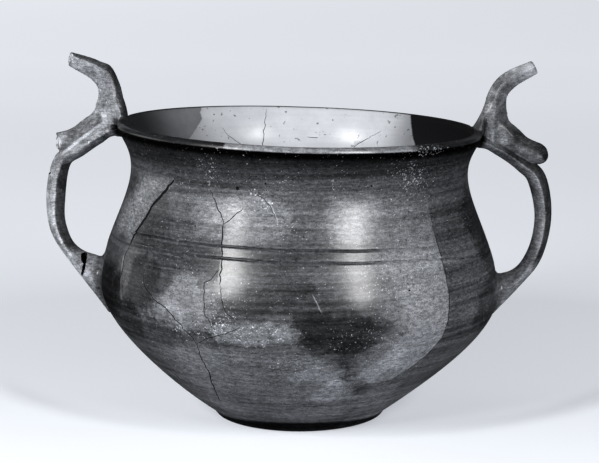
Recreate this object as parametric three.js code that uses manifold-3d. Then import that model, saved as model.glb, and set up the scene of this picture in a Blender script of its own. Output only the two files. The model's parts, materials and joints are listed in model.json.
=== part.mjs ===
// A hand-built ancient bowl of burnished clay, with two upright handles whose ends curl out like horns.
// Millimetres, +Z up. The origin is the centre of the flat underside, and the handles stand along X.
import * as THREE from "three";
import { mergeVertices } from "three/addons/utils/BufferGeometryUtils.js";
import Module from "manifold-3d";

const wasm = await Module();
wasm.setup();

// Driving dimensions of the vessel wall.
const underside = 43.5;
const footRadius = 46;
const footHeight = 2.5;
const bellyRadius = 105.3;
const bellyHeight = 69;
const neckRadius = 88.4;
const neckHeight = 131;
const rimRadius = 95.2;
const rimHeight = 152.5;
const lipFlare = THREE.MathUtils.degToRad(27);
const wall = 5.5;
const floorThickness = 7.5;

// The inside of the floor is flat up to a turn, this far in from where the flank has risen by the turn's height.
const floorTurn = 12;
const floorTurnRise = 1;

// Two lines are cut round the shoulder with a point, while the clay is leather hard.
const upperLineHeight = 104.3;
const lowerLineHeight = 98.8;
const lineWidth = 1.5;
const lineDepth = 0.7;

// The upper vessel sank a little to the right as it dried: the fall of each level, for each unit of X.
const lean = 0.026;

// Driving dimensions of the handles. The strap is measured in the plane of the handle, its breadth across it.
const rootHeight = 64;
const strap = 10;
const strapBreadth = 15;
const hornBase = 28;
const hornBreadth = 20;
const lugThickness = 13.5;

// A thin web, drawn along the lip on both sides, stiffens the bowl side of each horn.
const webBreadth = 40;

// Roundness of a handle's section, from 1, a lozenge, to 2, an ellipse.
const sectionRoundness = 1.7;

// Fineness of the facets.
const wallSegments = 64;
const handleSides = 12;
const ringsPerSpan = 3;

// Each handle was rolled and bent by hand, so the two differ. Stations are shares: out from the wall to the
// reach and up from the root to the rim for the loop, and along the horn's own sweep and rise for the horn.
// The last two values of a station are its thickness and breadth, as shares of the strap or the horn's base.
const leftHandle = {
  side: -1,
  reach: 134,
  hornSweep: 24,
  hornRise: 32.4,
  lugReach: 127.5,
  loop: [
    [-0.45, 0.0, 3.3, 1.5],
    [0.55, 0.18, 1.0, 1.1],
    [0.96, 0.36, 0.92, 1.0],
    [0.98, 0.58, 1.06, 1.0],
    [0.85, 0.76, 0.9, 1.0],
    [0.66, 0.86, 1.25, 1.05],
    [0.32, 0.94, 1.2, 1.15],
    [-0.1, 0.94, 1.1, 1.5],
  ],
  horn: [
    [0.29, -0.21, 1.0, 0.85],
    [0.17, 0.18, 0.6, 0.8],
    [0.18, 0.53, 0.42, 0.68],
    [0.41, 0.81, 0.38, 0.6],
    [1.0, 1.0, 0.26, 0.45],
  ],
  lug: [
    [0.45, 0.94, 0.9, 1.0],
    [0.71, 0.9, 1.0, 1.0],
    [0.87, 0.875, 0.95, 1.0],
    [0.97, 0.865, 0.74, 0.85],
    [1.0, 0.86, 0.45, 0.6],
  ],
};
const rightHandle = {
  side: 1,
  reach: 133.2,
  hornSweep: 27.3,
  hornRise: 34.5,
  lugReach: 129.8,
  loop: [
    [-0.45, 0.0, 3.1, 1.5],
    [0.37, 0.11, 1.1, 1.15],
    [0.85, 0.26, 0.86, 1.0],
    [1.0, 0.49, 0.91, 1.0],
    [0.89, 0.73, 0.94, 1.0],
    [0.68, 0.86, 1.3, 1.05],
    [0.35, 0.93, 1.2, 1.15],
    [-0.1, 0.94, 1.1, 1.5],
  ],
  horn: [
    [0.32, -0.21, 0.96, 0.85],
    [0.25, 0.16, 0.58, 0.8],
    [0.29, 0.52, 0.35, 0.68],
    [0.49, 0.78, 0.33, 0.6],
    [1.0, 1.0, 0.27, 0.45],
  ],
  lug: [
    [0.4, 0.94, 0.9, 1.0],
    [0.65, 0.915, 1.0, 1.0],
    [0.84, 0.885, 1.0, 1.0],
    [0.94, 0.87, 0.85, 0.85],
    [0.99, 0.86, 0.5, 0.5],
    [1.0, 0.858, 0.15, 0.15],
  ],
};

// The outer wall is three curves: the flank from the foot to the belly, the shoulder in to the neck, and the
// neck out to the lip.
const lipRadius = wall / 2;
const lipStart = new THREE.Vector2(
  rimRadius - lipRadius * (1 - Math.cos(lipFlare)),
  rimHeight - lipRadius * (1 + Math.sin(lipFlare)),
);
const flankRise = bellyHeight - footHeight;
const shoulderRise = neckHeight - bellyHeight;
const neckRise = lipStart.y - neckHeight;
const flank = new THREE.CubicBezierCurve(
  new THREE.Vector2(footRadius, footHeight),
  new THREE.Vector2(footRadius + 0.3 * flankRise, footHeight + 0.215 * flankRise),
  new THREE.Vector2(bellyRadius, bellyHeight - 0.31 * flankRise),
  new THREE.Vector2(bellyRadius, bellyHeight),
);
const shoulder = new THREE.CubicBezierCurve(
  new THREE.Vector2(bellyRadius, bellyHeight),
  new THREE.Vector2(bellyRadius, bellyHeight + 0.34 * shoulderRise),
  new THREE.Vector2(neckRadius, neckHeight - 0.28 * shoulderRise),
  new THREE.Vector2(neckRadius, neckHeight),
);
const neck = new THREE.CubicBezierCurve(
  new THREE.Vector2(neckRadius, neckHeight),
  new THREE.Vector2(neckRadius, neckHeight + 0.45 * neckRise),
  new THREE.Vector2(
    lipStart.x - 0.33 * neckRise * Math.sin(lipFlare),
    lipStart.y - 0.33 * neckRise * Math.cos(lipFlare),
  ),
  lipStart,
);

// Radius of the outer wall at a height, found by halving along the curve that holds it.
function wallRadius(height) {
  const curve = height < bellyHeight ? flank : height < neckHeight ? shoulder : neck;
  let low = 0;
  let high = 1;
  for (let step = 0; step < 30; step += 1) {
    const middle = (low + high) / 2;
    if (curve.getPoint(middle).y < height) {
      low = middle;
    } else {
      high = middle;
    }
  }
  return curve.getPoint(low).x;
}

function turned(profile) {
  return asSolid(new THREE.LatheGeometry(profile, wallSegments).rotateX(Math.PI / 2));
}

function asSolid(geometry) {
  geometry.deleteAttribute("normal");
  geometry.deleteAttribute("uv");
  const merged = mergeVertices(geometry, 1e-4);
  return new wasm.Manifold(
    new wasm.Mesh({
      numProp: 3,
      vertProperties: merged.attributes.position.array,
      triVerts: merged.index.array,
    }),
  );
}

// Points along the wall from the foot's edge up to the start of the lip.
function wallPoints(flankSteps, shoulderSteps, neckSteps) {
  return [
    ...flank.getPoints(flankSteps),
    ...shoulder.getPoints(shoulderSteps).slice(1),
    ...neck.getPoints(neckSteps).slice(1),
  ];
}

// The outer face, with the two lines cut into it.
function outerOutline() {
  const lines = [lowerLineHeight, upperLineHeight];
  const clear = wallPoints(9, 8, 4).filter((point) =>
    lines.every((line) => Math.abs(point.y - line) > lineWidth),
  );
  for (const line of lines) {
    for (const [offset, depth] of [[-0.5, 0], [0, lineDepth], [0.5, 0]]) {
      const height = line + offset * lineWidth;
      clear.push(new THREE.Vector2(wallRadius(height) - depth, height));
    }
  }
  return clear.sort((a, b) => a.y - b.y);
}

// The inside of the wall at a depth below the outer face: from the axis over the floor and up to the lip.
function innerOutline(depth) {
  const points = wallPoints(6, 5, 3);
  const inner = points.map((point, index) => {
    const before = points[Math.max(index - 1, 0)];
    const after = points[Math.min(index + 1, points.length - 1)];
    const along = after.clone().sub(before).normalize();
    return new THREE.Vector2(point.x - along.y * depth, point.y + along.x * depth);
  });
  const floorHeight = (floorThickness * depth) / wall;
  const risen = inner.filter((point) => point.y > floorHeight + floorTurnRise);
  const turn = new THREE.Vector2(risen[0].x - floorTurn, floorHeight);
  return [new THREE.Vector2(0, floorHeight), turn, ...risen];
}

function vesselWall() {
  const lip = [];
  const centre = new THREE.Vector2(rimRadius - lipRadius, rimHeight - lipRadius);
  for (let step = 1; step < 6; step += 1) {
    const angle = -lipFlare + (Math.PI * step) / 6;
    lip.push(
      new THREE.Vector2(centre.x + lipRadius * Math.cos(angle), centre.y + lipRadius * Math.sin(angle)),
    );
  }
  return turned([
    new THREE.Vector2(0, 0),
    new THREE.Vector2(underside, 0),
    ...outerOutline(),
    ...lip,
    ...innerOutline(wall).reverse(),
  ]);
}

// Everything inside the middle of the wall, which trims the handles' roots so that none shows in the bowl.
function rootTrim() {
  const inside = innerOutline(wall / 2);
  const top = inside[inside.length - 1];
  return turned([...inside, new THREE.Vector2(0, top.y)]);
}

// A bar lofted through stations of a centre, a thickness across it and a breadth along Y.
function loft(stations, side) {
  const centre = new THREE.SplineCurve(stations.map(({ x, z }) => new THREE.Vector2(x, z)));
  const girth = new THREE.SplineCurve(stations.map(({ thick, broad }) => new THREE.Vector2(thick, broad)));
  const rings = ringsPerSpan * (stations.length - 1);
  const positions = [];
  const faces = [];
  const rounding = 2 / sectionRoundness;
  const rounded = (value) => Math.sign(value) * Math.abs(value) ** rounding;
  for (let ring = 0; ring <= rings; ring += 1) {
    const at = centre.getPoint(ring / rings);
    const along = centre.getTangent(ring / rings);
    const size = girth.getPoint(ring / rings);
    for (let corner = 0; corner < handleSides; corner += 1) {
      const angle = (2 * Math.PI * corner) / handleSides;
      const across = (rounded(Math.cos(angle)) * size.x) / 2;
      const sideways = (rounded(Math.sin(angle)) * size.y) / 2;
      positions.push(side * (at.x + along.y * across), sideways, at.y - along.x * across);
    }
  }
  const addFace = (a, b, c) => faces.push(...(side > 0 ? [a, b, c] : [a, c, b]));
  for (let ring = 0; ring < rings; ring += 1) {
    for (let corner = 0; corner < handleSides; corner += 1) {
      const next = (corner + 1) % handleSides;
      const here = ring * handleSides;
      const above = here + handleSides;
      addFace(here + corner, here + next, above + corner);
      addFace(here + next, above + next, above + corner);
    }
  }
  const last = rings * handleSides;
  for (let corner = 1; corner < handleSides - 1; corner += 1) {
    addFace(0, corner + 1, corner);
    addFace(last, last + corner, last + corner + 1);
  }
  const geometry = new THREE.BufferGeometry();
  geometry.setAttribute("position", new THREE.Float32BufferAttribute(positions, 3));
  geometry.setIndex(faces);
  return asSolid(geometry);
}

// Stations between the wall and a reach, at heights between the root and the rim.
function stationsBetween(rows, reach, thickness, breadth) {
  return rows.map(([out, up, thick, broad]) => {
    const z = THREE.MathUtils.lerp(rootHeight, rimHeight, up);
    const start = wallRadius(z);
    return { x: start + out * (reach - start), z, thick: thick * thickness, broad: broad * breadth };
  });
}

function handle({ side, reach, hornSweep, hornRise, lugReach, loop, horn, lug }) {
  const hornStations = horn.map(([out, up, thick, broad]) => ({
    x: rimRadius + out * hornSweep,
    z: rimHeight + up * hornRise,
    thick: thick * hornBase,
    broad: broad * hornBreadth,
  }));
  const crest = rimRadius - lipRadius;
  const bowlSide = ({ x, thick }) => x - thick / 2 + 0.35 * wall;
  const [, low, high] = hornStations;
  const webStations = [
    { x: crest, z: rimHeight - lipRadius, thick: wall, broad: webBreadth },
    { x: bowlSide(low), z: low.z, thick: 0.8 * wall, broad: 0.5 * webBreadth },
    { x: bowlSide(high), z: high.z, thick: 0.5 * wall, broad: 0.25 * webBreadth },
  ];
  const solid = loft(stationsBetween(loop, reach - strap / 2, strap, strapBreadth), side)
    .add(loft(hornStations, side))
    .add(loft(webStations, side))
    .add(loft(stationsBetween(lug, lugReach, lugThickness, strapBreadth), side));
  return solid.subtract(rootTrim());
}

// Each level falls to the right by the lean, which grows from nothing at the foot to its full value at the belly.
function sunk(geometry) {
  const position = geometry.getAttribute("position");
  for (let index = 0; index < position.count; index += 1) {
    const share = THREE.MathUtils.smoothstep(position.getZ(index), 0, bellyHeight);
    position.setZ(index, position.getZ(index) - lean * share * position.getX(index));
  }
  return geometry;
}

function bowl() {
  const mesh = vesselWall().add(handle(leftHandle)).add(handle(rightHandle)).getMesh();
  const geometry = new THREE.BufferGeometry();
  geometry.setAttribute("position", new THREE.Float32BufferAttribute(mesh.vertProperties, mesh.numProp));
  geometry.setIndex(Array.from(mesh.triVerts));
  return sunk(geometry);
}

const burnishedClay = new THREE.MeshStandardMaterial({ color: 0x3c3f44, roughness: 0.42, metalness: 0 });
const body = new THREE.Mesh(bowl(), burnishedClay);
body.name = "bowl";

const group = new THREE.Group();
group.add(body);

export default group;
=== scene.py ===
import json
import math

import bpy
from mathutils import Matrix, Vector, noise

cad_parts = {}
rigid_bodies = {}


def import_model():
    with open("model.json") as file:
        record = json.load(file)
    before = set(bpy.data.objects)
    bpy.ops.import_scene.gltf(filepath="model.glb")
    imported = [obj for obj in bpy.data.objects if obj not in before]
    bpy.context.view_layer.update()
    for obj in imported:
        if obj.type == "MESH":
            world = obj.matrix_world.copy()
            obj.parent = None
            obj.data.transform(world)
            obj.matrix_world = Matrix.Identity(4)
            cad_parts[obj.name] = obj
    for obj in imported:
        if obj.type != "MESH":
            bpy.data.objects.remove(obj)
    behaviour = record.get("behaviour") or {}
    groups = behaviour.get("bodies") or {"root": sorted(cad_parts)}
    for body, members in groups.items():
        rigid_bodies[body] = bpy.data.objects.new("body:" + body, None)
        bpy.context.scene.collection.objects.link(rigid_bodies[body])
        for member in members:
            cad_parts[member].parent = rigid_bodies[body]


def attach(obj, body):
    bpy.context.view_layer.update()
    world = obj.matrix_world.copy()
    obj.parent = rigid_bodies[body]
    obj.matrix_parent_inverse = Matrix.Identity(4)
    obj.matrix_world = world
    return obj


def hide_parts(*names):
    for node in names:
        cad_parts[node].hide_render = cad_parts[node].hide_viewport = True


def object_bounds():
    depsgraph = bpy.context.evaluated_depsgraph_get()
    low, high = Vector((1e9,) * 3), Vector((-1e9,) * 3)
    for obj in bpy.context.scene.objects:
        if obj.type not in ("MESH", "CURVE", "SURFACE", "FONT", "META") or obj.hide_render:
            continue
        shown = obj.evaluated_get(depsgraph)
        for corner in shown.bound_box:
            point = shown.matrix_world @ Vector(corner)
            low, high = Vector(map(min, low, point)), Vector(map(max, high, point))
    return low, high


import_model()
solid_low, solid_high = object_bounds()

# The cracks stray by noise_vector, which Blender seeds from the clock unless it is given a seed.
noise.seed_set(7)

# Sizes of the turned wall, in metres. The wall is the same three curves as the solid's.
MM = 0.001
UNDERSIDE = 43.5 * MM
FOOT = Vector((46.0, 2.5)) * MM
BELLY = Vector((solid_high.y / MM, 69.0)) * MM
NECK = Vector((88.4, 131.0)) * MM
RIM = Vector((95.2, 152.5)) * MM
LIP_FLARE = math.radians(27)
WALL = 5.5 * MM
FLOOR = 7.5 * MM
LEAN = 0.026
RIM_LIFT = 1.0 * MM
LEFT_RIM_LIFT = 0.9 * MM
TURNS = 296

# The two lines cut round the shoulder sag a little towards the handles.
LINE_HEIGHTS = (104.4 * MM, 98.9 * MM)
LINE_WIDTH = 1.3 * MM
LINE_DEPTH = 0.5 * MM

# The handles' bars are laid out in millimetres: distance from the axis, height, thickness, breadth.
WEB_BREADTH = 38.0 * MM
LOOP_ROUNDNESS = 1.35
HORN_ROUNDNESS = 1.2
BAR_SIDES = 32
RING_STEP = 2.0 * MM
HANDLE_GRAIN = 0.75 * MM

# The photograph's camera: distance, aim and angle, and its frame in pixels.
PHOTO = (599, 463)
FOCAL_PIXELS = 1716.0
CAMERA_DISTANCE = 909.5 * MM
CAMERA_AIM = 96.7 * MM
CAMERA_PITCH = math.radians(10.1)
SENSOR = 36.0


def clear_selection():
    bpy.ops.object.select_all(action="DESELECT")
    bpy.context.view_layer.objects.active = None


def pick(piece):
    clear_selection()
    piece.select_set(True)
    bpy.context.view_layer.objects.active = piece


def edit(piece):
    pick(piece)
    bpy.ops.object.mode_set(mode="EDIT")
    bpy.ops.mesh.select_all(action="SELECT")


def leave_edit():
    bpy.ops.object.mode_set(mode="OBJECT")


def apply_modifier(piece, kind, **settings):
    modifier = piece.modifiers.new(kind, kind)
    for name, value in settings.items():
        setattr(modifier, name, value)
    pick(piece)
    bpy.ops.object.modifier_apply(modifier=modifier.name)


def join(piece, *others):
    pick(piece)
    for other in others:
        other.select_set(True)
    bpy.ops.object.join()
    return piece


def combine(piece, other, operation):
    """Joins or cuts two closed pieces, and removes the second. Cut faces keep the cutter's material."""
    apply_modifier(
        piece, "BOOLEAN", operation=operation, object=other, solver="MANIFOLD", material_mode="TRANSFER"
    )
    bpy.data.objects.remove(other)


def bezier(start, pull_out, pull_in, end, steps):
    points = []
    for step in range(steps + 1):
        t = step / steps
        s = 1 - t
        points.append(s**3 * start + 3 * s * s * t * pull_out + 3 * s * t * t * pull_in + t**3 * end)
    return points


def smoothstep(value, low, high):
    share = min(max((value - low) / (high - low), 0.0), 1.0)
    return share * share * (3 - 2 * share)


# The turned wall


LIP_RADIUS = WALL / 2
LIP_CENTRE = RIM - Vector((LIP_RADIUS, LIP_RADIUS))
LIP_START = LIP_CENTRE + LIP_RADIUS * Vector((math.cos(LIP_FLARE), -math.sin(LIP_FLARE)))


def wall_line(step):
    """Points up the outer wall from the foot's edge to the lip, about one step apart."""
    flank = BELLY.y - FOOT.y
    shoulder = NECK.y - BELLY.y
    neck = LIP_START.y - NECK.y
    flare = Vector((math.sin(LIP_FLARE), math.cos(LIP_FLARE)))
    curves = (
        (FOOT, FOOT + Vector((0.3, 0.215)) * flank, BELLY - Vector((0, 0.31 * flank)), BELLY, 92 * MM),
        (BELLY, BELLY + Vector((0, 0.34 * shoulder)), NECK - Vector((0, 0.28 * shoulder)), NECK, 65 * MM),
        (NECK, NECK + Vector((0, 0.45 * neck)), LIP_START - 0.33 * neck * flare, LIP_START, 19 * MM),
    )
    points = [FOOT]
    for start, pull_out, pull_in, end, length in curves:
        points += bezier(start, pull_out, pull_in, end, max(3, round(length / step)))[1:]
    return points


FINE_LINE = wall_line(0.4 * MM)


def wall_radius(height):
    for below, above in zip(FINE_LINE, FINE_LINE[1:]):
        if above.y >= height:
            share = (height - below.y) / max(above.y - below.y, 1e-9)
            return below.x + min(max(share, 0.0), 1.0) * (above.x - below.x)
    return FINE_LINE[-1].x


def outer_line():
    """The outer face with the two cut lines, each a soft V."""
    reach = 1.6 * LINE_WIDTH
    points = [p for p in wall_line(2.0 * MM) if all(abs(p.y - line) > reach for line in LINE_HEIGHTS)]
    for line in LINE_HEIGHTS:
        for share in (-1.3, -0.85, -0.6, -0.42, -0.25, -0.1, 0.0, 0.12, 0.3, 0.55, 0.85, 1.3):
            height = line + share * LINE_WIDTH
            cut = LINE_DEPTH * max(0.0, 1 - (abs(share) / 0.6) ** 1.3)
            burr = -0.12 * LINE_DEPTH if 0.5 < abs(share) < 1 else 0.0
            points.append(Vector((wall_radius(height) - cut - burr, height)))
    return sorted(points, key=lambda p: p.y)


def inner_line(depth, step):
    """The wall's inside at a depth under its outer face, from the axis over the floor and up to the lip."""
    points = wall_line(step)
    inside = []
    for index, point in enumerate(points):
        along = (points[min(index + 1, len(points) - 1)] - points[max(index - 1, 0)]).normalized()
        inside.append(point + depth * Vector((-along.y, along.x)))
    floor = FLOOR * depth / WALL
    risen = [p for p in inside if p.y > floor + 1.2 * MM]
    corner = risen[0].x - 11 * MM
    flat = [Vector((corner * share, floor)) for share in (0.0, 0.25, 0.5, 0.75, 1.0)]
    turn = bezier(flat[-1], flat[-1] + Vector((5 * MM, 0)), risen[0] - Vector((4 * MM, 3 * MM)), risen[0], 5)
    return flat + turn[1:-1] + risen


def lip_line():
    points = []
    for step in range(1, 10):
        angle = -LIP_FLARE + math.pi * step / 10
        points.append(LIP_CENTRE + LIP_RADIUS * Vector((math.cos(angle), math.sin(angle))))
    return points


def turned(name, outline, turns):
    """A solid spun round the Z axis from an outline that starts and ends on it."""
    clear_selection()
    bpy.ops.mesh.primitive_plane_add(size=1 * MM, location=(0, 0, 0))
    piece = bpy.context.object
    piece.name = name
    edit(piece)
    bpy.ops.mesh.merge(type="CENTER")
    bpy.ops.transform.translate(value=(outline[0].x, 0, outline[0].y))
    at = outline[0]
    for point in outline[1:]:
        bpy.ops.mesh.extrude_vertices_move(
            TRANSFORM_OT_translate={"value": (point.x - at.x, 0, point.y - at.y)}
        )
        at = point
    bpy.ops.mesh.select_all(action="SELECT")
    bpy.ops.mesh.spin(steps=turns, angle=math.tau, center=(0, 0, 0), axis=(0, 0, 1))
    bpy.ops.mesh.select_all(action="SELECT")
    bpy.ops.mesh.remove_doubles(threshold=0.01 * MM)
    bpy.ops.mesh.normals_make_consistent(inside=False)
    leave_edit()
    return piece


def turned_wall():
    underside = [Vector((UNDERSIDE * share, 0.0)) for share in (0.0, 0.3, 0.6, 0.85, 1.0)]
    foot_edge = [Vector((UNDERSIDE + 1.4 * MM, 0.35 * MM)), Vector((FOOT.x - 0.35 * MM, 1.2 * MM))]
    inside = inner_line(WALL, 3.6 * MM)
    outline = underside + foot_edge + outer_line() + lip_line() + inside[::-1]
    return turned("bowl_piece", outline, TURNS)


def root_trim():
    inside = inner_line(WALL / 2, 6 * MM)
    return turned("root_trim", inside + [Vector((0.0, inside[-1].y))], 96)


# The handles


def spline(rows, share):
    """A value on a smooth curve through the rows, at a share of its length in rows."""
    place = share * (len(rows) - 1)
    index = min(int(place), len(rows) - 2)
    t = place - index
    before = rows[max(index - 1, 0)]
    start = rows[index]
    end = rows[index + 1]
    after = rows[min(index + 2, len(rows) - 1)]
    values = []
    for p0, p1, p2, p3 in zip(before, start, end, after):
        v0 = (p2 - p0) / 2
        v1 = (p3 - p1) / 2
        cubic = (2 * p1 - 2 * p2 + v0 + v1) * t
        square = -3 * p1 + 3 * p2 - 2 * v0 - v1
        values.append((cubic + square) * t * t + v0 * t + p1)
    return values


def lozenge(piece, roundness, ridge_shift):
    """Squeezes a round blank into a lozenge, with the ridges on its sides moved towards the bowl."""
    for vertex in piece.data.vertices:
        x, y = vertex.co.x, vertex.co.y
        broad = math.copysign(abs(y) ** (2 / roundness), y)
        vertex.co.x = math.copysign(abs(x) ** (2 / roundness), x) + ridge_shift * abs(broad) ** 1.5
        vertex.co.y = broad


def bar(stations, side, ridge_shift=0.0, roundness=2.0):
    """A clay bar drawn out through stations of (x, z, thickness, breadth)."""
    length = sum(math.dist(a[:2], b[:2]) for a, b in zip(stations, stations[1:]))
    rings = round(length / RING_STEP)
    rows = [spline(stations, ring / rings) for ring in range(rings + 1)]
    turns = []
    for index, row in enumerate(rows):
        after = rows[min(index + 1, rings)]
        before = rows[max(index - 1, 0)]
        turns.append(math.atan2(side * (after[0] - before[0]), after[1] - before[1]))
    clear_selection()
    bpy.ops.mesh.primitive_circle_add(vertices=BAR_SIDES, radius=1.0, fill_type="NGON")
    piece = bpy.context.object
    lozenge(piece, roundness, -side * ridge_shift)
    x, z, thick, broad = rows[0]
    piece.location = (side * x, 0, z)
    piece.rotation_euler = (0, turns[0], 0)
    piece.scale = (thick / 2, broad / 2, 1)
    pick(piece)
    bpy.ops.object.transform_apply(location=True, rotation=True, scale=True)
    edit(piece)
    for index in range(1, rings + 1):
        old = rows[index - 1]
        new = rows[index]
        centre = (side * new[0], 0, new[1])
        bpy.ops.mesh.extrude_region_move(
            TRANSFORM_OT_translate={"value": (side * (new[0] - old[0]), 0, new[1] - old[1])}
        )
        bpy.ops.transform.rotate(
            value=turns[index - 1] - turns[index], orient_axis="Y", center_override=centre
        )
        thicker = new[2] / old[2]
        bpy.ops.transform.resize(value=(thicker, new[3] / old[3], thicker), center_override=centre)
    bpy.ops.mesh.select_all(action="SELECT")
    bpy.ops.mesh.normals_make_consistent(inside=False)
    leave_edit()
    return piece


LEFT = {
    "side": -1,
    "ridge_shift": 0.6,
    "loop": (
        (93.0, 64.0, 33.0, 25.0),
        (117.6, 79.6, 10.2, 16.5),
        (127.6, 95.5, 9.2, 14.5),
        (128.4, 115.5, 10.4, 14.5),
        (124.6, 131.8, 9.4, 15.0),
        (115.8, 137.9, 8.4, 19.5),
        (107.0, 144.1, 8.4, 22.0),
        (100.5, 147.2, 8.2, 23.0),
        (92.5, 147.5, 8.0, 24.0),
    ),
    "horn": (
        (102.1, 145.7, 27.0, 14.5),
        (99.3, 158.2, 17.0, 14.5),
        (99.4, 169.7, 11.7, 12.5),
        (105.1, 178.6, 11.3, 11.0),
        (120.5, 185.2, 7.4, 9.0),
    ),
    "lug": (
        (103.0, 154.5, 11.0, 12.5),
        (109.0, 148.2, 13.6, 13.0),
        (114.5, 144.2, 13.2, 13.0),
        (121.0, 142.1, 11.2, 13.0),
        (129.5, 141.2, 9.0, 12.0),
    ),
}
RIGHT = {
    "side": 1,
    "ridge_shift": 0.25,
    "loop": (
        (93.0, 63.5, 31.0, 25.0),
        (113.4, 73.5, 10.6, 17.0),
        (124.3, 87.0, 8.8, 14.5),
        (128.7, 107.7, 9.1, 14.5),
        (125.2, 128.2, 10.2, 15.0),
        (117.4, 135.7, 8.4, 16.5),
        (108.5, 141.8, 7.8, 17.0),
        (100.0, 145.9, 7.6, 19.0),
        (92.5, 147.0, 8.0, 24.0),
    ),
    "horn": (
        (104.0, 145.3, 26.5, 14.5),
        (102.3, 157.9, 16.3, 14.5),
        (103.2, 170.4, 10.2, 12.5),
        (108.8, 179.3, 9.6, 11.0),
        (122.8, 187.0, 7.6, 10.0),
    ),
    "lug": (
        (104.5, 156.0, 11.0, 12.5),
        (110.5, 149.2, 13.6, 13.0),
        (116.0, 144.8, 12.8, 13.5),
        (121.5, 142.4, 12.4, 13.0),
        (126.5, 141.3, 11.2, 11.5),
        (129.6, 141.0, 7.6, 7.6),
        (130.9, 141.0, 2.5, 2.5),
    ),
}


def in_metres(rows):
    return [tuple(value * MM for value in row) for row in rows]


def select_where(piece, test):
    """Leaves edit mode with only the points selected that the test holds for."""
    pick(piece)
    bpy.ops.object.mode_set(mode="EDIT")
    bpy.ops.mesh.select_mode(type="VERT")
    bpy.ops.mesh.select_all(action="DESELECT")
    bpy.ops.object.mode_set(mode="OBJECT")
    for vertex in piece.data.vertices:
        vertex.select = test(vertex)


def soften_creases(piece, depth, spread, repeat, keep=lambda at: True):
    """Fills the inner corners where two forms meet, and leaves the outer ridges crisp."""
    points = [vertex.co.copy() for vertex in piece.data.vertices]
    near = [Vector() for point in points]
    count = [0] * len(points)
    for edge in piece.data.edges:
        a, b = edge.vertices
        near[a] += points[b]
        near[b] += points[a]
        count[a] += 1
        count[b] += 1

    def hollow(vertex):
        index = vertex.index
        lift = near[index] / count[index] - points[index]
        return lift.dot(vertex.normal) > depth and keep(points[index])

    select_where(piece, hollow)
    bpy.ops.object.mode_set(mode="EDIT")
    for ring in range(spread):
        bpy.ops.mesh.select_more()
    bpy.ops.mesh.vertices_smooth(factor=0.5, repeat=repeat)
    leave_edit()


def handle(shape):
    """The loop, horn, web and lug of one handle, worked into one smooth piece of clay."""
    side = shape["side"]
    horn = in_metres(shape["horn"])
    low, high = horn[1], horn[2]
    web = [
        (LIP_CENTRE.x, LIP_CENTRE.y, WALL, WEB_BREADTH),
        (low[0] - low[2] / 2 + 0.35 * WALL, low[1], 0.8 * WALL, 0.45 * WEB_BREADTH),
        (high[0] - high[2] / 2 + 0.35 * WALL, high[1], 0.45 * WALL, 0.2 * WEB_BREADTH),
    ]
    piece = join(
        bar(horn, side, shape["ridge_shift"], HORN_ROUNDNESS),
        bar(web, side, roundness=1.8),
        bar(in_metres(shape["lug"]), side, roundness=1.7),
    )
    apply_modifier(piece, "REMESH", mode="VOXEL", voxel_size=HANDLE_GRAIN)
    soften_creases(piece, 0.03 * MM, 4, 30)
    loop = bar(in_metres(shape["loop"]), side, roundness=LOOP_ROUNDNESS)
    apply_modifier(loop, "REMESH", mode="VOXEL", voxel_size=HANDLE_GRAIN)
    for part in (piece, loop):
        edit(part)
        bpy.ops.mesh.vertices_smooth(factor=0.5, repeat=2)
        leave_edit()
    combine(piece, loop, "UNION")
    soften_creases(piece, 0.05 * MM, 1, 4)
    combine(piece, root_trim(), "DIFFERENCE")
    return piece


def near_root(at):
    return abs(at.x) > 78 * MM and abs(at.y) < 34 * MM and at.z < 92 * MM


def near_rim(at):
    return abs(at.x) > 78 * MM and abs(at.y) < 34 * MM and at.z > 125 * MM


def line_sag(at):
    """The two cut lines sag towards the handles, more on the right, and were drawn unsteadily."""
    turn = math.atan2(at.x, -at.y)
    fall = 7.5 if at.x > 0 else 3.0
    wander = 0.5 * noise.noise(Vector((math.sin(turn), math.cos(turn), 0)) * 5)
    return (-fall * math.sin(turn) ** 4 + wander) * MM


def drawn_lines(piece):
    """Bends the two cut lines to the path of the hand that drew them, and varies their depth."""
    middle = sum(LINE_HEIGHTS) / 2
    for vertex in piece.data.vertices:
        at = vertex.co
        out = math.hypot(at.x, at.y)
        cut = wall_radius(at.z) - out
        window = 1 - smoothstep(abs(at.z - middle), 9 * MM, 30 * MM)
        if window > 0 and abs(cut) < 1.2 * MM:
            height = at.z + window * line_sag(at)
            press = 1.05 + 0.5 * noise.noise(Vector((at.x, at.y, at.z * 3)) / (30 * MM))
            angle = math.degrees(math.atan2(at.x, -at.y))
            if at.z > middle:
                press *= 1 - 0.8 * smoothstep(angle, 36, 52) * (1 - smoothstep(angle, 110, 130))
            else:
                press *= 1 - 0.4 * smoothstep(-angle, 24, 40) * (1 - smoothstep(-angle, 110, 130))
            press *= 1 - 0.7 * smoothstep(abs(math.sin(math.radians(angle))), 0.84, 0.93)
            wanted = wall_radius(height) - cut * press
            vertex.co = Vector((at.x * wanted / out, at.y * wanted / out, height))


def made_bowl():
    piece = turned_wall()
    drawn_lines(piece)
    for shape in (LEFT, RIGHT):
        combine(piece, handle(shape), "UNION")
    soften_creases(piece, 0.04 * MM, 5, 45, near_root)
    soften_creases(piece, 0.08 * MM, 3, 14, near_rim)
    return piece


# Damage


def wall_point(angle, height, proud=0.0):
    """A point on the outer wall: degrees round from the front, growing to the right, and millimetres up."""
    out = wall_radius(height * MM) + proud
    turn = math.radians(angle)
    return Vector((out * math.sin(turn), -out * math.cos(turn), height * MM))


INNER_LINE = inner_line(WALL, 2 * MM)


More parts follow.
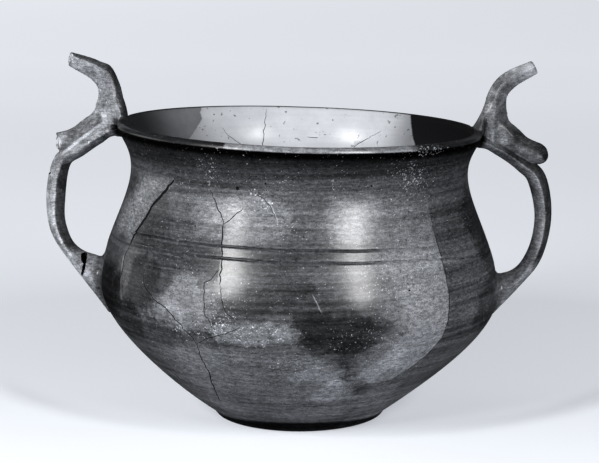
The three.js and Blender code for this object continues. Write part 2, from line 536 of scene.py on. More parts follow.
def inner_point(angle, height):
    """A point on the inside of the wall."""
    rising = [point for point in INNER_LINE if point.y > 9 * MM]
    above = next(index for index, point in enumerate(rising) if point.y >= height * MM or point is rising[-1])
    low, high = rising[above - 1], rising[above]
    out = low.x + (high.x - low.x) * (height * MM - low.y) / (high.y - low.y)
    turn = math.radians(angle)
    return Vector((out * math.sin(turn), -out * math.cos(turn), height * MM))


def strayed(corners, place, step, stray):
    """Points along a path, one step apart, that stray a little as a crack does and keep to the surface."""
    path = []
    for start, end in zip(corners, corners[1:]):
        count = max(1, round((place(*end) - place(*start)).length / step))
        for index in range(count):
            share = index / count
            path.append(tuple(a + (b - a) * share for a, b in zip(start, end)))
    path.append(corners[-1])
    points = []
    for index, corner in enumerate(path):
        aside = noise.noise_vector(place(*corner) / (2.5 * MM)) * stray
        if 0 < index < len(path) - 1:
            corner = (corner[0] + aside.x, corner[1] + aside.y) + tuple(corner[2:])
        points.append(place(*corner))
    return points


def crack_cutter(path, width, finish):
    """A thin tube along a path, thinner towards its ends."""
    curve = bpy.data.curves.new("crack", "CURVE")
    curve.dimensions = "3D"
    curve.bevel_depth = 1.0
    curve.bevel_resolution = 1
    curve.use_fill_caps = True
    line = curve.splines.new("POLY")
    line.points.add(len(path) - 1)
    for index, point in enumerate(path):
        share = index / (len(path) - 1)
        swell = 0.45 + 0.55 * math.sin(math.pi * share) ** 0.5 if 0 < share < 1 else 0.4
        line.points[index].co = (*point, 1)
        line.points[index].radius = width / 2 * swell * (0.85 + 0.3 * noise.noise(point / (4 * MM)))
    cutter = bpy.data.objects.new("crack", curve)
    bpy.context.collection.objects.link(cutter)
    pick(cutter)
    bpy.ops.object.convert(target="MESH")
    cutter = bpy.context.object
    cutter.data.materials.clear()
    cutter.data.materials.append(finish)
    edit(cutter)
    bpy.ops.mesh.remove_doubles(threshold=0.002 * MM)
    bpy.ops.mesh.normals_make_consistent(inside=False)
    leave_edit()
    return cutter


def chip_cutter(at, size, finish, seed):
    """A small rough lump that takes a chip away."""
    clear_selection()
    bpy.ops.mesh.primitive_ico_sphere_add(subdivisions=3, radius=1.0, location=(0, 0, 0))
    cutter = bpy.context.object
    for vertex in cutter.data.vertices:
        rough = 1 + 0.45 * noise.noise(vertex.co * 1.7 + Vector((seed, 0, 0)))
        vertex.co = Vector(at) + Vector([vertex.co[i] * size[i] for i in range(3)]) * rough
    cutter.data.materials.append(finish)
    return cutter


def break_cutter(at, facing, size, roughness, finish):
    """A rough-faced block whose near side is a break across a bar of clay."""
    clear_selection()
    bpy.ops.mesh.primitive_cube_add(size=1.0, location=(0, 0, 0))
    cutter = bpy.context.object
    edit(cutter)
    bpy.ops.mesh.subdivide(number_cuts=22)
    leave_edit()
    turn = Vector(facing).to_track_quat("Z", "Y")
    for vertex in cutter.data.vertices:
        flat = Vector((vertex.co.x * size, vertex.co.y * size, (vertex.co.z + 0.5) * size))
        place = Vector(at) + turn @ flat
        if vertex.co.z < 0.49:
            place += Vector(facing).normalized() * roughness * (
                noise.noise(place / (2.6 * MM)) + 0.5 * noise.noise(place / (1.1 * MM))
            )
        vertex.co = place
    cutter.data.materials.append(finish)
    return cutter


# Each crack is a width in millimetres and its points as (degrees, millimetres up).
WALL_CRACKS = (
    (2.4, ((-44.1, 131.7), (-48.6, 125.1), (-53.2, 118.3), (-55.3, 110.9), (-58.3, 103.2), (-59.1, 97.0))),
    (0.9, ((-59.1, 97.0), (-60.2, 90.8), (-59.3, 84.5), (-59.5, 76.9), (-59.6, 70.8))),
    (0.6, ((-29.3, 129.6), (-27.2, 125.2), (-24.9, 119.4), (-23.5, 114.1), (-21.0, 117.4), (-17.5, 122.4))),
    (0.9, ((-23.5, 114.1), (-23.2, 106.6), (-22.3, 98.3), (-22.1, 92.9), (-21.9, 87.0))),
    (0.45, ((-21.9, 87.0), (-20.9, 79.6), (-19.4, 73.8), (-17.3, 71.5))),
    (0.5, ((-22.5, 93.8), (-24.4, 89.5), (-26.2, 87.2), (-26.2, 81.1), (-25.5, 73.1), (-24.1, 67.0),
        (-22.3, 65.2))),
    (0.6, ((-48.6, 86.3), (-47.0, 79.9), (-42.9, 75.3), (-38.3, 72.4), (-34.2, 66.6), (-30.7, 60.3),
        (-29.5, 55.9))),
    (0.7, ((-29.5, 55.9), (-30.0, 47.9), (-30.0, 38.8), (-32.5, 30.0), (-36.3, 19.3))),
    (0.5, ((-29.5, 55.9), (-25.3, 60.0), (-19.9, 63.5), (-15.5, 68.1))),
    (0.45, ((-57.7, 98.5), (-48.4, 99.2), (-40.6, 98.2), (-34.6, 96.7))),
    (0.4, ((-13.8, 130.0), (-11.0, 127.6), (-8.6, 123.2), (-6.8, 116.8))),
    (0.4, ((-25.7, 20.3), (-12.8, 21.7), (-0.4, 22.1), (12.0, 22.1))),
    (0.5, ((45.3, 118.0), (45.1, 108.7), (45.1, 97.5), (45.1, 85.2), (44.5, 77.0), (43.7, 67.5),
        (42.7, 59.0))),
    (0.45, ((42.7, 59.0), (40.5, 51.4), (36.6, 42.3), (32.4, 36.3), (27.0, 33.0))),
    (0.7, ((49.2, 96.2), (55.9, 95.2), (69.0, 94.4))),
    (0.7, ((118.0, 134.0), (124.0, 118.0), (121.0, 101.0), (128.0, 84.0), (137.0, 66.0), (134.0, 44.0))),
    (0.5, ((137.0, 66.0), (152.0, 60.0), (168.0, 66.0), (181.0, 58.0), (196.0, 63.0), (207.0, 52.0))),
    (0.6, ((181.0, 58.0), (178.0, 40.0), (184.0, 24.0))),
    (0.55, ((218.0, 140.0), (214.0, 121.0), (219.0, 103.0), (212.0, 84.0), (207.0, 52.0))),
)
INNER_CRACKS = (
    (0.5, ((-167.8, 151.0), (-166.1, 139.4), (-165.0, 126.0), (-168.0, 104.0))),
    (0.42, ((-149.0, 141.5), (-151.1, 137.6), (-155.9, 132.9), (-163.0, 122.0))),
    (0.42, ((147.0, 142.5), (151.6, 138.0), (156.6, 134.3), (164.0, 124.0))),
    (0.45, ((177.0, 136.7), (174.8, 136.2), (172.7, 136.5))),
)


def damaged(piece, crack_face, broken_face):
    """The cracks, rim chips and broken ends that the bowl has."""
    for paths, point in ((WALL_CRACKS, wall_point), (INNER_CRACKS, inner_point)):
        for width, path in paths:
            line = strayed(path, point, 1.6 * MM, 0.6)
            combine(piece, crack_cutter(line, width * MM, crack_face), "DIFFERENCE")
    for seed, (angle, drop, size) in enumerate(RIM_CHIPS):
        at = wall_point(angle, RIM.y / MM, 0.2 * MM) - Vector((0, 0, drop * MM))
        cutter = chip_cutter(at, [size * 1.7 * MM, size * MM, 0.7 * size * MM], broken_face, seed)
        combine(piece, cutter, "DIFFERENCE")
    for at, facing, size, rough in BREAKS:
        cutter = break_cutter(Vector(at) * MM, facing, size * MM, rough * MM, broken_face)
        combine(piece, cutter, "DIFFERENCE")
    for depth in ROOT_CRACK_DEPTHS:
        line = strayed(ROOT_CRACK, lambda across, height: Vector((across, depth, height)) * MM, 1.5 * MM, 0.3)
        combine(piece, crack_cutter(line, ROOT_CRACK_WIDTH * MM, crack_face), "DIFFERENCE")
    for seed, (angle, height, size) in enumerate(WALL_PITS):
        cutter = chip_cutter(wall_point(angle, height), [size * MM] * 3, crack_face, 40 + seed)
        combine(piece, cutter, "DIFFERENCE")
    for seed, (at, size, finish) in enumerate(HANDLE_CHIPS):
        face = broken_face if finish == "pale" else crack_face
        cutter = chip_cutter(Vector(at) * MM, [value * MM for value in size], face, 20 + seed)
        combine(piece, cutter, "DIFFERENCE")


# Degrees round, millimetres below the lip's top, and radius.
RIM_CHIPS = (
    (34.5, 2.3, 0.5),
    (37.2, 2.7, 0.45),
    (41.2, 0.9, 0.7),
    (43.6, 1.5, 0.6),
    (46.4, 2.5, 0.5),
    (-24.3, 2.4, 0.5),
    (112.0, 0.8, 1.4),
    (-163.0, 0.5, 1.0),
)
# Where a bar is broken across, the way the break faces, the block's size and its roughness.
BREAKS = (
    ((-119.2, -1.0, 184.9), (-0.84, -0.54, 0.1), 17.0, 0.6),
    ((-126.4, -1.0, 143.0), (-0.93, -0.36, -0.05), 15.0, 0.8),
)
# The crack across the left loop's root, as distance from the axis and height.
ROOT_CRACK = ((-114.0, 85.0), (-113.8, 82.0), (-113.0, 78.4), (-114.7, 73.0), (-116.3, 69.4), (-117.5, 66.5))
# How far towards the camera from the middle of the strap it is cut, and its width.
ROOT_CRACK_DEPTHS = (-13.0, -11.5, -10.0, -8.5, -7.0, -5.5, -4.0)
ROOT_CRACK_WIDTH = 2.3
# Degrees round, millimetres up, and radius.
WALL_PITS = (
    (-19.6, 131.4, 0.9),
    (-10.5, 134.5, 0.5),
    (23.0, 134.0, 0.5),
    (-33.0, 112.0, 0.4),
    (31.0, 85.0, 0.5),
)
# Place and size in millimetres, and whether the chip is fresh and pale or old and dark.
HANDLE_CHIPS = (
    ((-113.6, -7.5, 81.6), (1.8, 7.0, 3.4), "dark"),
    ((-131.6, -1.5, 125.2), (0.8, 3.0, 1.2), "pale"),
    ((-101.1, -6.6, 168.8), (1.3, 0.9, 0.8), "pale"),
)


# Finish


class Shade:
    """One value of a shader. Its operators add Math nodes."""

    def __init__(self, maker, socket):
        self.maker = maker
        self.socket = socket

    def math(self, operation, *values):
        return self.maker.node("ShaderNodeMath", {"operation": operation}, dict(enumerate(values)))

    def __add__(self, other):
        return self.math("ADD", self, other)

    def __radd__(self, other):
        return self.math("ADD", other, self)

    def __sub__(self, other):
        return self.math("SUBTRACT", self, other)

    def __rsub__(self, other):
        return self.math("SUBTRACT", other, self)

    def __mul__(self, other):
        return self.math("MULTIPLY", self, other)

    def __rmul__(self, other):
        return self.math("MULTIPLY", other, self)

    def __truediv__(self, other):
        return self.math("DIVIDE", self, other)

    def between_straight(self, low, high):
        """Rises evenly from 0 to 1 as the value goes from low to high."""
        limits = {"Value": self, "From Min": low, "From Max": high}
        return self.maker.node("ShaderNodeMapRange", {}, limits, "Result")

    def between(self, low, high, start=0.0, end=1.0):
        """Rises smoothly from start to end as the value goes from low to high."""
        return self.maker.node(
            "ShaderNodeMapRange",
            {"interpolation_type": "SMOOTHSTEP"},
            {"Value": self, "From Min": low, "From Max": high, "To Min": start, "To Max": end},
            "Result",
        )


# Middle and half size in degrees and millimetres, and strength.
DARK_CLOUDS = (
    ((10.0, 67.0), (13.0, 10.0), 0.65),
    ((4.0, 80.0), (9.0, 8.0), 0.4),
    ((15.0, 50.0), (6.0, 12.0), 0.5),
    ((19.0, 34.0), (5.0, 7.0), 0.4),
    ((21.0, 70.0), (6.0, 5.0), 0.4),
    ((67.0, 67.0), (11.0, 13.0), 0.55),
    ((74.0, 110.0), (11.0, 18.0), 0.6),
    ((76.0, 88.0), (10.0, 13.0), 0.4),
    ((-13.0, 79.0), (8.0, 6.0), 0.4),
    ((-52.0, 112.0), (8.0, 14.0), 0.35),
    ((-56.0, 62.0), (9.0, 12.0), 0.5),
    ((-50.0, 81.0), (7.0, 13.0), 0.6),
    ((-2.0, 87.0), (8.0, 5.0), 0.3),
    ((20.0, 55.0), (5.0, 6.0), 0.4),
    ((26.0, 66.0), (4.0, 5.0), 0.3),
    ((128.0, 60.0), (16.0, 13.0), 0.5),
    ((-142.0, 104.0), (14.0, 10.0), 0.45),
)
PALE_CLOUDS = (
    ((-31.0, 77.0), (8.0, 14.0), 0.085),
    ((-30.0, 50.0), (8.0, 9.0), 0.03),
    ((12.0, 31.0), (7.0, 8.0), 0.06),
    ((-39.0, 70.0), (6.0, 8.0), 0.06),
    ((7.0, 42.0), (7.0, 7.0), 0.06),
    ((-13.0, 65.0), (13.0, 5.0), 0.08),
    ((-14.0, 118.0), (12.0, 12.0), 0.05),
    ((17.0, 118.0), (10.0, 12.0), 0.05),
    ((24.0, 50.0), (9.0, 9.0), 0.05),
    ((-26.0, 117.0), (8.0, 9.0), 0.04),
    ((30.0, 24.0), (10.0, 8.0), 0.03),
    ((152.0, 88.0), (20.0, 16.0), 0.07),
    ((-158.0, 70.0), (18.0, 20.0), 0.06),
    ((-112.0, 92.0), (12.0, 18.0), 0.05),
    ((104.0, 52.0), (14.0, 12.0), 0.05),
)
SALT = (
    ((-15.0, 65.0), (12.0, 6.0), 1.6),
    ((-1.0, 49.0), (7.0, 4.0), 1.2),
    ((-20.0, 76.0), (4.0, 8.0), 1.4),
    ((-29.0, 66.0), (8.0, 9.0), 1.0),
    ((18.0, 62.0), (10.0, 6.0), 1.0),
    ((30.0, 92.0), (14.0, 14.0), 0.8),
    ((38.0, 138.0), (5.0, 7.0), 2.2),
    ((43.0, 151.0), (7.0, 3.0), 2.2),
    ((-28.0, 139.0), (4.0, 7.0), 1.8),
    ((-11.0, 128.0), (4.0, 6.0), 1.5),
    ((140.0, 66.0), (12.0, 8.0), 1.4),
    ((-150.0, 58.0), (14.0, 8.0), 1.4),
)


# Fine pale scratches: upper and lower end, and width in degrees.
SCRATCHES = (
    ((3.5, 84.6), (5.7, 76.6), 0.22),
    ((-60.9, 91.0), (-57.6, 70.0), 0.7),
    ((-9.5, 127.0), (-6.6, 116.8), 0.4),
)


class Finish:
    """A material and the one way that nodes are added to it."""

    def __init__(self, name):
        self.material = bpy.data.materials.new(name)
        self.material.use_nodes = True
        self.tree = self.material.node_tree
        self.tree.nodes.clear()
        self.output = self.tree.nodes.new("ShaderNodeOutputMaterial")

    def node(self, kind, settings=None, inputs=None, output=0):
        node = self.tree.nodes.new(kind)
        for name, value in (settings or {}).items():
            setattr(node, name, value)
        for name, value in (inputs or {}).items():
            if isinstance(value, Shade):
                self.tree.links.new(value.socket, node.inputs[name])
            else:
                node.inputs[name].default_value = value
        return Shade(self, node.outputs[output])

    def ramp(self, value, low, high, stops):
        """A value that follows straight lines between the stops."""
        node = self.node("ShaderNodeValToRGB", {}, {"Fac": value.between_straight(low, high)})
        stripe = node.socket.node.color_ramp
        stripe.elements.remove(stripe.elements[1])
        for index, (at, level) in enumerate(stops):
            place = (at - low) / (high - low)
            stop = stripe.elements.new(place) if index else stripe.elements[0]
            stop.position = place
            stop.color = (level, level, level, 1)
        return node

    def noise(self, vector, scale, detail=3.0, roughness=0.55):
        return self.node(
            "ShaderNodeTexNoise",
            {"noise_dimensions": "3D"},
            {"Vector": vector, "Scale": scale, "Detail": detail, "Roughness": roughness, "Distortion": 0.0},
            "Fac",
        )

    def position(self):
        return self.node("ShaderNodeTexCoord", {}, {}, "Object")

    def along(self, vector, axis):
        return self.node("ShaderNodeSeparateXYZ", {}, {"Vector": vector}, axis)

    def stretched(self, vector, scale):
        return self.node("ShaderNodeVectorMath", {"operation": "MULTIPLY"}, {0: vector, 1: scale})

    def grey(self, value):
        """The photograph's faintly cool grey, at a brightness."""
        return self.node(
            "ShaderNodeCombineColor", {}, {"Red": value * 0.97, "Green": value, "Blue": value * 1.06}
        )

    def finish(self, **sockets):
        shader = self.node("ShaderNodeBsdfPrincipled", {}, sockets, "BSDF")
        self.tree.links.new(shader.socket, self.output.inputs["Surface"])
        return self.material


class BurnishedClay(Finish):
    """Dark burnished clay, streaked round the pot, with the patches that firing and wear left, and with painted
    shade, shadow and highlights.
    """

    def __init__(self):
        super().__init__("burnished clay")
        self.place = self.position()
        self.across = self.along(self.place, "X") * 1000
        self.back = self.along(self.place, "Y") * 1000
        rise = self.along(self.place, "Z") * 1000
        lift = (RIM_LIFT + LEFT_RIM_LIFT * (self.across * -1).between_straight(0, 95)) / MM
        height = rise + self.across * rise.between(0, 69, 0, LEAN)
        self.height = height - height.between(125, 151) * lift
        self.angle = self.across.math("ARCTAN2", self.across, self.back * -1) * (180 / math.pi)
        self.back_angle = self.across.math("ARCTAN2", self.across, self.back) * (180 / math.pi)
        self.radius = self.across.math("SQRT", self.across * self.across + self.back * self.back)
        self.turn = self.angle * (math.pi / 180)
        self.add_regions()
        self.add_patterns()

    def add_regions(self):
        """How far each point belongs to a handle, to the inside and to the outside of the wall."""
        radii = [(h, wall_radius(h * MM) / MM / 200) for h in range(3, 153, 6)]
        proud = self.radius - self.ramp(self.height, 0, 160, radii) * 200
        bars = proud.between(1.6, 5.0)
        self.on_handle = bars.math("MAXIMUM", bars, self.height.between(152.8, 154.0))
        self.inside = proud.between(-2.4, -3.4) * self.height.between(6, 8)
        self.outside = (1 - self.on_handle) * (1 - self.inside)

    def add_patterns(self):
        place = self.place
        self.streaks = self.noise(self.stretched(place, (9, 9, 480)), 1.0, 5.0, 0.62)
        self.wide_streaks = self.noise(self.stretched(place, (7, 7, 130)), 1.0, 4.0, 0.6)
        self.mottle = self.noise(place, 30.0, 6.0, 0.62)
        self.blotch = self.noise(place, 95.0, 5.0, 0.65)
        self.grain = self.noise(self.stretched(place, (0.55, 0.55, 1.5)), 620.0, 4.0, 0.75)
        self.salt = self.noise(place, 1100.0, 2.0, 0.5)
        self.pits = self.noise(place, 820.0, 2.0, 0.5).between(0.62, 0.72)
        self.stray = (self.noise(place, 48.0, 6.0, 0.7) - 0.5) * 24
        self.flutter = (self.noise(place, 240.0, 3.0, 0.6) - 0.5) * 5
        crumbs = self.noise(place, 1500.0, 2.0, 0.6)
        self.speckle = self.grain.between(0.3, 0.7, 0.55, 1.45) * crumbs.between(0.3, 0.7, 0.75, 1.25)

    def patch(self, at, size, soft=0.5):
        """A patch on the wall, as its middle and half size in degrees and millimetres."""
        wide = (self.angle + self.stray - at[0]) / size[0]
        tall = (self.height + self.stray * 0.6 + self.flutter - at[1]) / size[1]
        return (wide * wide + tall * tall).between(1 + soft, 1 - soft)

    def streaked_body(self):
        """The streaked and mottled body, with painted shade in the cut lines."""
        tone = 0.052 * (0.35 + 1.3 * self.mottle) * self.streaks.between(0.25, 0.75, 0.45, 1.55)
        tone = tone * self.wide_streaks.between(0.3, 0.7, 0.7, 1.3)
        swing = self.turn.math("SINE", self.turn)
        sag = swing * swing * swing * swing * self.across.between(-20, 20, -3.0, -7.5)
        upper_drawn = 1 - 0.8 * self.angle.between(34, 48)
        lower_drawn = 1 - 0.4 * self.angle.between(-24, -40)
        # Painted shade darkens each cut line, less where it was drawn lightly.
        for line, drawn in zip(LINE_HEIGHTS, (upper_drawn, lower_drawn)):
            near = self.height - sag - line / MM + self.flutter * 0.1
            tone = tone * (1 - 0.45 * drawn * (near * near).between(0.4, 0.05) * (0.4 + self.mottle))
        return tone

    def with_right_sherd(self, tone):
        """The paler sherd on the right ends at a clean edge."""
        height = self.height
        edge = self.ramp(height, 30, 140, ((30, 0.26), (36, 0.324), (42, 0.366), (51, 0.405), (59, 0.427),
            (68, 0.437), (77, 0.445), (85, 0.451), (97, 0.451), (118, 0.453), (127, 0.452), (134, 0.431))) * 100
        within = (edge - self.angle + self.flutter * 0.1).between(-0.2, 0.6)
        sherd = within * (edge - self.angle + self.stray).between(30, 12)
        sherd = sherd * (height + self.stray).between(32, 40) * (height + self.stray).between(136, 118)
        tone = tone + sherd * (0.075 + 0.095 * self.blotch) * (1 - 0.7 * height.between(92, 122))
        beyond = (self.angle - edge).between(-0.2, 0.6) * self.angle.between(100, 80)
        return tone * (1 + 0.35 * beyond * height.between(110, 96))

    def with_left_fill(self, tone):
        """The smooth fill at the left, beyond the deep crack."""
        height = self.height
        crack_line = self.ramp(height, 60, 135, ((60, 0.6), (77, 0.595), (91, 0.602), (97, 0.591),
            (103, 0.583), (111, 0.553), (118, 0.532), (125, 0.486), (132, 0.441))) * -100
        beyond = crack_line - self.angle
        fill = beyond.between(0, 0.8) * (beyond + self.stray).between(26, 14)
        fill = fill * (height + self.stray).between(94, 106) * (height + self.flutter).between(136, 127)
        shade = (0.1 + 0.08 * self.blotch) * self.grain.between(0.3, 0.7, 0.75, 1.25)
        # The fill is painted darker towards its top, as shade under the lip.
        return tone * (1 - fill) + fill * shade * height.between(134, 118, 0.55, 1)

    def worn_ground(self):
        """Pale worn ground low on the wall, with its top edge."""
        shore = self.ramp(self.angle, -60, 40, ((-60, 0.48), (-24, 0.568), (-13, 0.59), (-1, 0.603),
            (5, 0.538), (9.5, 0.464), (14, 0.39), (18, 0.31), (24, 0.25))) * 100
        worn = (shore - self.height + self.flutter * 0.6).between(-1.5, 3.0) * self.height.between(4, 16)
        return worn * (self.angle + self.stray).between(-52, -34) * self.angle.between(26, 18)

    def dark_clouds(self):
        gloom = 1.0
        for at, size, strength in DARK_CLOUDS:
            gloom = (1 - strength * self.patch(at, size)) * gloom
        return gloom

    def salt_specks(self):
        """Salt lies in fine white specks, thickest where the wall broke."""
        thick = self.noise(self.place, 70.0, 3.0, 0.6).between(0.5, 0.7)
        for at, size, strength in SALT:
            thick = thick + self.patch(at, size) * strength
        return (self.salt + thick * 0.05).between(0.67, 0.78)

    def with_scratches(self, tone):
        for start, end, wide in SCRATCHES:
            slope = (end[0] - start[0]) / (end[1] - start[1])
            aside = self.angle - start[0] - (self.height - start[1]) * slope + self.flutter * 0.15
            length = self.height.between(end[1] - 0.8, end[1] + 0.8)
            length = length * self.height.between(start[1] + 0.8, start[1] - 0.8)
            tone = tone + 0.13 * (aside * aside).between(wide * wide, 0) * length * (0.3 + self.mottle)
        return tone

    def handle_tone(self):
        """The handles are browner grey, worn pale on their ridges, with painted shade on the sides turned from
        the light and painted highlights.
        """
        across, height = self.across, self.height
        tone = 0.16 * self.blotch.between(0.3, 0.7, 0.45, 1.55) * self.mottle.between(0.3, 0.7, 0.7, 1.3)
        tone = tone * self.speckle
        # The left arm has a sharp ridge along its front, with a painted highlight along it, and is darker above
        # it.
        off_ridge = height - 135 - (across + 124) * 0.716
        arm = across.between(-126, -122) * across.between(-101, -105) * self.back.between(0, -3)
        tone = tone * (1 - 0.4 * arm * off_ridge.between(0.6, 1.6) * off_ridge.between(9, 4))
        tone = tone + 0.14 * arm * (off_ridge * off_ridge).between(1.3, 0)
        # Painted shade: the sides turned to the right and up are painted dark, as if turned from the light, and
        # the sides turned to the left stay pale.
        facing = self.node("ShaderNodeTexCoord", {}, {}, "Normal")
        turned = self.along(facing, "X") + self.along(facing, "Z") * 0.45 + self.flutter * 0.02
        painted_side_shade = (turned - across.between(-110, -124, 0, 0.2)).between(0.0, 0.4) * height.between(80, 88)
        right_bars = across.between(90, 104)
        side_shade_strength = height.between(150, 165, 0.8, 0.68) * (1 - 0.35 * right_bars * height.between(138, 148))
        tone = tone * (1 - painted_side_shade * side_shade_strength)
        # The right lug is darker, with a painted highlight on its tip.
        dark_lug = across.between(106, 113) * height.between(137, 141) * height.between(158, 152)
        tip = (across - 126.5) * (across - 126.5) + (height - 142) * (height - 142)
        tone = tone * (1 - 0.4 * dark_lug) + 0.16 * tip.between(9, 2) * (1 - painted_side_shade)
        # Painted light and shade: the left handle's outer part is painted lighter, and the right bars darker
        # low down.
        tone = tone * across.between(-110, -124, 1, 1.5)
        tone = tone * (1 - 0.25 * right_bars * height.between(148, 138))
        # Worn ridges and the right horn's pale tip.
        wear = self.noise(self.place, 300.0, 4.0, 0.7).between(0.5, 0.66) * across.between(20, -20, 0.25, 1)
        ridge = (self.back * self.back).between(34, 52) * wear
        tone = tone + 0.14 * ridge + 0.25 * (self.salt + 0.1 * ridge).between(0.7, 0.78)
        return tone + height.between(176, 184) * across.between(106, 112) * 0.16 * self.blotch

    def pale_inside(self):
        """How far a point belongs to the pale fill inside the back, between two dark sherds."""
        height, turned = self.height, self.back_angle
        left_edge = self.ramp(height, 110, 153, ((110, 0.7), (125, 0.6), (136.4, 0.481), (138.8, 0.454),
            (142.8, 0.418), (146.3, 0.389), (149.6, 0.389), (153, 0.37))) * -100
        right_edge = self.ramp(height, 110, 153, ((110, 0.64), (137.7, 0.5), (142.7, 0.474),
            (147.8, 0.451), (153, 0.43))) * 100
        pale = (turned - left_edge + self.flutter * 0.15).between(-0.4, 0.4)
        return pale * (right_edge - turned + self.flutter * 0.15).between(-0.4, 0.4) * height.between(30, 60)

    def inner_tone(self, pale):
        turned = self.back_angle
        fill = (0.34 + 0.16 * self.blotch) * (0.9 + 0.2 * self.streaks)
        fill = fill * turned.between(-48, -32, 0.6, 1) * turned.between(48, 31, 0.45, 1)
        fill = fill * (1 - 0.6 * self.noise(self.place, 330.0, 2.0, 0.5).between(0.66, 0.72))
        dark = 0.01 + (0.02 + 0.2 * self.mottle * turned.between(-76, -42)) * turned.between(10, -10)
        return dark * (1 - pale) + pale * fill


def burnished_clay():
    clay = BurnishedClay()
    angle, height, blotch = clay.angle, clay.height, clay.blotch
    tone = clay.with_left_fill(clay.with_right_sherd(clay.streaked_body()))
    tone = tone * height.between(40, 10, 1, 1.7)
    worn = clay.worn_ground()
    tone = tone + worn * (0.02 + 0.07 * clay.mottle * blotch)
    gloom = clay.dark_clouds()
    tone = tone * gloom
    for at, size, strength in PALE_CLOUDS:
        tone = tone + strength * clay.patch(at, size) * (0.4 + 1.2 * blotch)

    # The darker neck, partly its own colour and partly painted shade, a painted shadow in the hollow under the
    # lip, and a painted highlight along the front of the lip.
    neck = (height + clay.flutter * 1.5 + (clay.wide_streaks - 0.5) * 16).between(128, 148)
    lip = height.between(149.7, 150.4)
    # Painted shadow in the hollow just under the lip.
    under = (height + clay.flutter * 0.3).between(144.5, 148.0) * (1 - lip)
    dark_neck_and_lip_shadow = 1 - (1 - 0.8 * neck) * (1 - 0.97 * under)
    # Painted highlight: the front of the lip is painted pale between about -22 and 36 degrees.
    lip_highlight_tone = 0.012 + 0.13 * angle.between(-22.6, -21.9) * angle.between(38, 34) * (0.5 + clay.mottle)
    tone = tone * (1 - dark_neck_and_lip_shadow) * (1 - lip) + lip_highlight_tone * lip

    specks = clay.salt_specks()
    tone = tone + specks * clay.outside * (1 - 0.4 * dark_neck_and_lip_shadow) * 0.26
    tone = clay.with_scratches(tone * (1 - 0.55 * clay.pits) * clay.speckle)
    # The foot is painted black as a contact shadow, highest at front and back and lowest at the sides.
    ahead = clay.turn.math("COSINE", clay.turn)
    tone = tone * (height - 6.0 * ahead * ahead).between(0, 2.5, 0.1, 1)
    tone = tone * (1 - clay.on_handle) + clay.handle_tone() * clay.on_handle
    # Darker, and with little gloss, round the left handle's root.
    root_darkening = clay.patch((-71, 72), (11, 16), 0.75) * (clay.radius + clay.stray * 0.4).between(124, 105)
    tone = tone * (1 - 0.85 * root_darkening)
    pale = clay.pale_inside()
    tone = tone * (1 - clay.inside) + clay.inner_tone(pale) * clay.inside

    gloss = (1 - 0.95 * dark_neck_and_lip_shadow) * (1 - 0.95 * root_darkening * (1 - clay.inside)) * (1 - 0.3 * worn) * (1 - 0.6 * specks)
    gloss = gloss * (0.3 + 0.7 * gloom) * (0.35 + 0.5 * blotch + 0.3 * clay.grain) * height.between(4, 9)
    # The sherd left of the long crack is matt.
    matt = angle.between(-22.4, -22.9) * angle.between(-60, -50)
    matt = matt * height.between(86, 90) * height.between(115, 113)
    gloss = (gloss * (1 - 0.65 * matt) * (1 - lip) + lip) * (1 - 0.65 * clay.on_handle)
    gloss = gloss * (1 - clay.inside * (1 - pale) * 0.8)
    # Above the cut lines the left of the shoulder is worn a little dull.
    dull = angle.between(-6, -13) * angle.between(-30, -24) * height.between(99, 108)
    gloss = gloss * (1 - 0.5 * clay.outside * dull)

    relief = clay.streaks * 0.45 + clay.grain * 0.35 + blotch * 0.5 - clay.pits * 0.6
    bump = clay.node("ShaderNodeBump", {}, {"Strength": 0.3, "Distance": 0.0005, "Height": relief}, "Normal")
    return clay.finish(**{"Base Color": clay.grey(tone), "Roughness": 0.5 + 0.2 * blotch, "Normal": bump,
        "IOR": 1.08, "Coat Weight": gloss, "Coat Roughness": 0.3, "Coat IOR": 1.5})


def crack_face():
    """The dark inside of a crack."""
    crack = Finish("crack")
    tone = 0.006 + 0.02 * crack.noise(crack.position(), 700.0, 2.0)
    return crack.finish(**{"Base Color": crack.grey(tone), "Roughness": 0.9, "IOR": 1.05})


def broken_face():
    """The pale, rough core of the clay where it broke off."""
    core = Finish("broken clay")
    place = core.position()
    grit = core.noise(place, 650.0, 3.0, 0.7)
    cloud = core.noise(place, 190.0, 2.0)
    tone = 0.07 + 0.42 * cloud.between(0.35, 0.65) * grit.between(0.3, 0.6)
    bump = core.node("ShaderNodeBump", {}, {"Strength": 0.6, "Distance": 0.0006, "Height": grit}, "Normal")
    return core.finish(**{"Base Color": core.grey(tone), "Roughness": 0.85, "Normal": bump})


bowl = made_bowl()
bowl.data.materials.clear()
bowl.data.materials.append(burnished_clay())
damaged(bowl, crack_face(), broken_face())


def leaning_and_uneven(piece):
    """Hand-built clay is never quite round, and the upper vessel leans and its left rim lifts."""
    for vertex in piece.data.vertices:
        at = vertex.co
        lift = RIM_LIFT + LEFT_RIM_LIFT * max(0.0, -at.x) / RIM.x
        on_wall = 1 - smoothstep(math.hypot(at.x, at.y), 97 * MM, 104 * MM)
        lift *= on_wall * smoothstep(at.z, 125 * MM, 150 * MM)
        share = smoothstep(at.z, 0.0, BELLY.y)
        if at.z > 1 * MM:
            out = Vector((at.x, at.y, 0)).normalized()
            at += out * 0.35 * MM * noise.noise(at / (38 * MM))
        at.z += lift - LEAN * share * at.x
        vertex.co = at


leaning_and_uneven(bowl)
pick(bowl)
bpy.ops.object.shade_smooth_by_angle(angle=math.radians(42))


# Floor, light and camera

# The middle of the round pool of shade that the bowl stands in, in metres.
SHADE_MIDDLE = (0.01, 0.152)


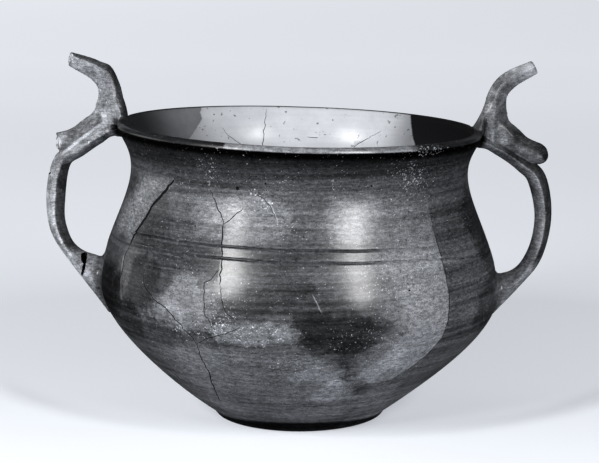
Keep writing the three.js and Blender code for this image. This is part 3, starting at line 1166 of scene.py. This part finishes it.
def pale_floor():
    """White paper in front, and a grey pool of shade behind its curved edge."""
    floor = Finish("pale floor")
    place = floor.position()
    across = floor.along(place, "X")
    back = floor.along(place, "Y")
    side = across - SHADE_MIDDLE[0]
    depth = back - SHADE_MIDDLE[1]
    reach = side.math("SQRT", side * side + depth * depth)
    shade = reach.between(0.208, 0.185)
    shade = 1 - (1 - shade) * (1 - back.between(0.01, 0.09))
    tone = 0.76 * (1 - shade) + shade * (0.62 + across * back.between(0.1, 0.5, 0.12, -0.03))
    # The floor glows as well as taking lamp light: painted light, brighter farther back and farther from the
    # bowl.
    light = floor.ramp(back, -0.3, 5, ((-0.3, 0.31), (-0.027, 0.35), (-0.01, 0.41), (0.04, 0.47),
        (0.14, 0.49), (0.32, 0.54), (0.51, 0.61), (0.71, 0.68), (1.66, 0.89), (2.43, 0.96), (5, 1.0)))
    far = across.math("SQRT", across * across + back * back).between(0.45, 2.5)
    light = light * shade + (0.1 + 0.65 * far) * (1 - shade)
    glow = floor.node("ShaderNodeEmission", {}, {"Color": floor.grey(tone), "Strength": light}, "Emission")
    matt = floor.node("ShaderNodeBsdfDiffuse", {}, {"Color": floor.grey(tone)}, "BSDF")
    both = floor.node("ShaderNodeAddShader", {}, {0: glow, 1: matt})
    floor.tree.links.new(both.socket, floor.output.inputs["Surface"])
    return floor.material


clear_selection()
bpy.ops.mesh.primitive_plane_add(size=24, location=(0, 0, 0))
ground = bpy.context.object
ground.name = "floor"
ground.data.materials.append(pale_floor())
ground.visible_glossy = False


def soft_light(name, azimuth, elevation, distance, size, power):
    """A square soft light that looks at the bowl. Azimuth 0 is the camera's side, and grows to the right."""
    aim = Vector((0, 0, 0.09))
    turn = math.radians(azimuth)
    climb = math.radians(elevation)
    away = Vector((math.sin(turn) * math.cos(climb), -math.cos(turn) * math.cos(climb), math.sin(climb)))
    clear_selection()
    bpy.ops.object.light_add(type="AREA", location=aim + distance * away)
    lamp = bpy.context.object
    lamp.name = name
    lamp.rotation_euler = away.to_track_quat("Z", "Y").to_euler()
    lamp.data.shape = "RECTANGLE"
    lamp.data.size = size[0]
    lamp.data.size_y = size[1]
    lamp.data.energy = power


soft_light("left light", -41, 25, 1.3, (0.2, 0.6), 18)
soft_light("right light", 36, 25, 1.3, (0.16, 0.6), 13)
soft_light("paper at the left", -105, 4, 1.2, (0.6, 0.5), 1.5)

world = bpy.data.worlds.new("studio")
world.use_nodes = True
sky = world.node_tree
seen = sky.nodes.new("ShaderNodeLightPath")
level = sky.nodes.new("ShaderNodeMapRange")
level.inputs["To Min"].default_value = 0.05
level.inputs["To Max"].default_value = 0.75
sky.links.new(seen.outputs["Is Camera Ray"], level.inputs["Value"])
sky.links.new(level.outputs["Result"], sky.nodes["Background"].inputs["Strength"])
sky.nodes["Background"].inputs["Color"].default_value = (0.95, 0.97, 1.0, 1)
bpy.context.scene.world = world
bpy.context.scene.view_settings.view_transform = "Standard"
bpy.context.scene.view_settings.look = "Medium High Contrast"

clear_selection()
bpy.ops.object.camera_add(
    location=(
        0,
        -CAMERA_DISTANCE * math.cos(CAMERA_PITCH),
        CAMERA_AIM + CAMERA_DISTANCE * math.sin(CAMERA_PITCH),
    ),
    rotation=(math.pi / 2 - CAMERA_PITCH, 0, 0),
)
camera = bpy.context.object
camera.data.sensor_width = SENSOR
camera.data.lens = FOCAL_PIXELS / PHOTO[0] * SENSOR
camera.data.clip_end = 50
bpy.context.scene.camera = camera

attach(bowl, "root")
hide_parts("bowl")
